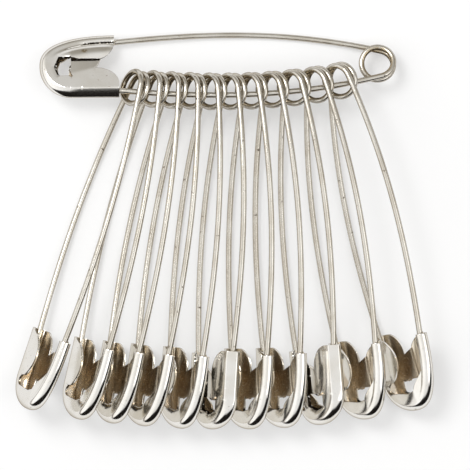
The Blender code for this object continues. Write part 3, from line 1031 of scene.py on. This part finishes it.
@dataclass
class Pin:
    """One closed safety pin: where it lies, its two forms, and its two pieces once built."""

    name: str
    place: PinPlace
    wire_form: WireForm
    cap_form: CapForm
    wire: bpy.types.Object | None = None
    cap: bpy.types.Object | None = None

    def build(self) -> None:
        """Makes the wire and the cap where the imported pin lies."""
        self.wire = self.wire_form.build(self.name + "_wire", self.place)
        self.cap = self.cap_form.build(self.name + "_sheet_cap", self.place)

    def dress(self, finishes: dict[str, bpy.types.Material]) -> None:
        """Gives each piece its finish and the cap the body that it moves with, and hides the
        imported wire, needle and cap that the two pieces stand for.

        Args:
            finishes: the materials by name.
        """
        self.wire.data.materials.append(finishes["wire"])
        self.cap.data.materials.append(finishes["outside"])
        self.cap.data.materials.append(finishes["inside"])
        form = self.wire_form
        start, end = (self.place.world(np.array((0.0, -radii * form.eye_radius, 0.0)))
                      for radii in (form.bend_start, form.bend_end))
        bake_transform(self.wire)
        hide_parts(self.name + "_spring_wire", self.name + "_needle")
        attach(self.cap, self.name)
        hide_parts(self.name + "_cap")
        for piece in (self.wire, self.cap):
            LOG.info("%s: %d faces", piece.name, len(piece.data.polygons))


@dataclass(frozen=True)
class Lamp:
    """A square soft lamp: its name, its place, its width in metres and its power in watts."""

    name: str
    place: tuple[float, float, float]
    width: float
    power: float

    def build(self) -> None:
        """Makes the lamp, turned to face the bunch."""
        light = bpy.data.lights.new(self.name, "AREA")
        light.size = self.width
        light.energy = self.power
        lamp = bpy.data.objects.new(self.name, light)
        lamp.location = self.place
        toward = -np.array(self.place)
        tilt = math.acos(-toward[2] / float(np.linalg.norm(toward)))
        lamp.rotation_euler = (tilt, 0, math.atan2(toward[1], toward[0]) - math.pi / 2)
        bpy.context.scene.collection.objects.link(lamp)


@dataclass(frozen=True)
class Tent:
    """What the metal mirrors: white above, grey at the back, brown near the table and dark in
    front. The camera itself sees plain white.

    A way is the x and y of a direction. A span is where a mask starts and where it is full.
    """

    white: Colour = (1.0, 1.0, 1.0, 1)
    grey: Colour = (0.42, 0.40, 0.36, 1)
    brown: Colour = (0.34, 0.29, 0.23, 1)
    dark: Colour = (0.012, 0.010, 0.009, 1)
    front_way: Span = (0.30, -0.95)
    front_span: Span = (0.30, 0.58)
    front_height: float = 0.66
    back_way: Span = (0.44, 0.9)
    back_span: Span = (0.0, 0.8)
    back_heights: Span = (0.2, 1.2)
    brown_heights: Span = (0.03, 0.25)
    brown_cover: float = 0.8
    dark_height: float = 0.06
    dark_edge: Span = (-0.06, 0.07)
    strength: float = 0.9
    left_strength: float = 0.3
    left_span: Span = (0.1, 0.8)

    @staticmethod
    def toward(x: Channel, y: Channel, way: Span) -> Channel:
        """How far a direction points along a way."""
        return x * way[0] + y * way[1]

    def build(self) -> None:
        """Makes the world."""
        world = bpy.data.worlds.new("tent")
        bpy.context.scene.world = world
        world.use_nodes = True
        graph = Graph(world.node_tree)
        way = graph.node("ShaderNodeTexCoord").outputs["Generated"]
        split = graph.node("ShaderNodeSeparateXYZ", None, {"Vector": way})
        x, y, z = (Channel(graph, split.outputs[k]) for k in range(3))
        front = self.toward(x, y, self.front_way).above(*self.front_span)
        back = self.toward(x, y, self.back_way).above(*self.back_span)
        grey = back * (1 - z.above(*self.back_heights))
        brown = (1 - z.above(*self.brown_heights)) * self.brown_cover
        low = self.dark_height + self.front_height * front
        lit = graph.node("ShaderNodeMapRange", {"interpolation_type": "SMOOTHSTEP"},
                         {"Value": z, "From Min": low + self.dark_edge[0],
                          "From Max": low + self.dark_edge[1]})
        colour = graph.blend(grey, self.white, self.grey)
        colour = graph.blend(brown, colour, self.brown)
        colour = graph.blend(Channel(graph, lit.outputs[0]), self.dark, colour)
        shine = self.strength + self.left_strength * (x * -1.0).above(*self.left_span)
        light = graph.node("ShaderNodeBackground", None, {"Color": colour, "Strength": shine})
        plain = graph.node("ShaderNodeBackground", None, {"Color": self.white, "Strength": 1.0})
        seen = graph.node("ShaderNodeLightPath").outputs["Is Camera Ray"]
        mixed = graph.node("ShaderNodeMixShader", None,
                           {0: seen, 1: light.outputs[0], 2: plain.outputs[0]})
        graph.node("ShaderNodeOutputWorld", None, {"Surface": mixed.outputs[0]})


@dataclass(frozen=True)
class Studio:
    """The pale floor, the tent, the lamps and the camera straight above, in metres."""

    centre: Span = (0.00161, -0.00066)
    width: float = 0.07154
    distance: float = 1.0
    sharp_height: float = 0.003
    sensor_width: float = 36.0
    clip_end: float = 10.0
    floor_size: float = 2.4
    floor_drop: float = 0.02 * MM
    floor_tone: Colour = (0.90, 0.90, 0.90, 1)
    floor_white: Colour = (1.0, 1.0, 1.0, 1)
    floor_roughness: float = 0.8
    floor_gloss: float = 0.2
    floor_glow: float = 0.38
    floor_mirrored: float = 0.9
    lamps: tuple[Lamp, ...] = (Lamp("key", (-0.35, 0.35, 0.75), 0.35, 3.2),
                               Lamp("fill", (0.5, -0.1, 0.6), 0.5, 0.8))

    def floor(self) -> None:
        """A plain pale floor under the bunch, a little brighter to the camera and to mirrors."""
        half = self.floor_size / 2
        corners = np.array(((-half, -half, 0), (half, -half, 0), (half, half, 0), (-half, half, 0)))
        floor = Sheet.piece("floor", corners - (0, 0, self.floor_drop), np.array(((0, 1, 2, 3),)))
        material = bpy.data.materials.new("pale_floor")
        material.use_nodes = True
        graph = Graph(material.node_tree)
        shader = graph.node("ShaderNodeBsdfPrincipled", None,
                            {"Base Color": self.floor_tone, "Roughness": self.floor_roughness,
                             "Specular IOR Level": self.floor_gloss})
        rays = graph.node("ShaderNodeLightPath").outputs
        seen = self.floor_glow * Channel(graph, rays["Is Camera Ray"])
        mirrored = self.floor_mirrored * (Channel(graph, rays["Is Glossy Ray"])
                                          + Channel(graph, rays["Is Transmission Ray"]))
        white = graph.node("ShaderNodeEmission", None,
                           {"Color": self.floor_white, "Strength": 1.0})
        mixed = graph.node("ShaderNodeMixShader", None,
                           {0: seen + mirrored, 1: shader.outputs[0], 2: white.outputs[0]})
        graph.node("ShaderNodeOutputMaterial", None, {"Surface": mixed.outputs[0]})
        floor.data.materials.append(material)

    def camera(self) -> None:
        """A long lens straight above the middle of the picture."""
        lens = bpy.data.cameras.new("camera")
        lens.sensor_width = self.sensor_width
        lens.lens = lens.sensor_width * (self.distance - self.sharp_height) / self.width
        lens.clip_end = self.clip_end
        camera = bpy.data.objects.new("camera", lens)
        camera.location = (*self.centre, self.distance)
        bpy.context.scene.collection.objects.link(camera)
        bpy.context.scene.camera = camera

    def build(self) -> None:
        """Makes the whole studio."""
        self.floor()
        Tent().build()
        for lamp in self.lamps:
            lamp.build()
        self.camera()
        bpy.context.scene.view_settings.view_transform = "Standard"


def main() -> None:
    """Builds the studio and the twelve pins, and reports each piece."""
    logging.basicConfig(level=logging.INFO, format="%(message)s")
    Studio().build()
    # The inside finish is the darker painted-shade copy of the outside.
    finishes = {"outside": CAP_OUTSIDE.make(), "inside": CAP_INSIDE_SHADED.make(),
                "wire": WIRE_FINISH.make()}
    for name in ["carrier"] + [f"pin_{number:02d}" for number in range(1, STRUNG_PINS + 1)]:
        place = PinPlace.from_record(name, frame["record"])
        pin = Pin(name, place, WireForm(), CapForm(reflection_spot=name == "carrier"))
        pin.build()
        pin.dress(finishes)


if __name__ == "__main__":
    main()
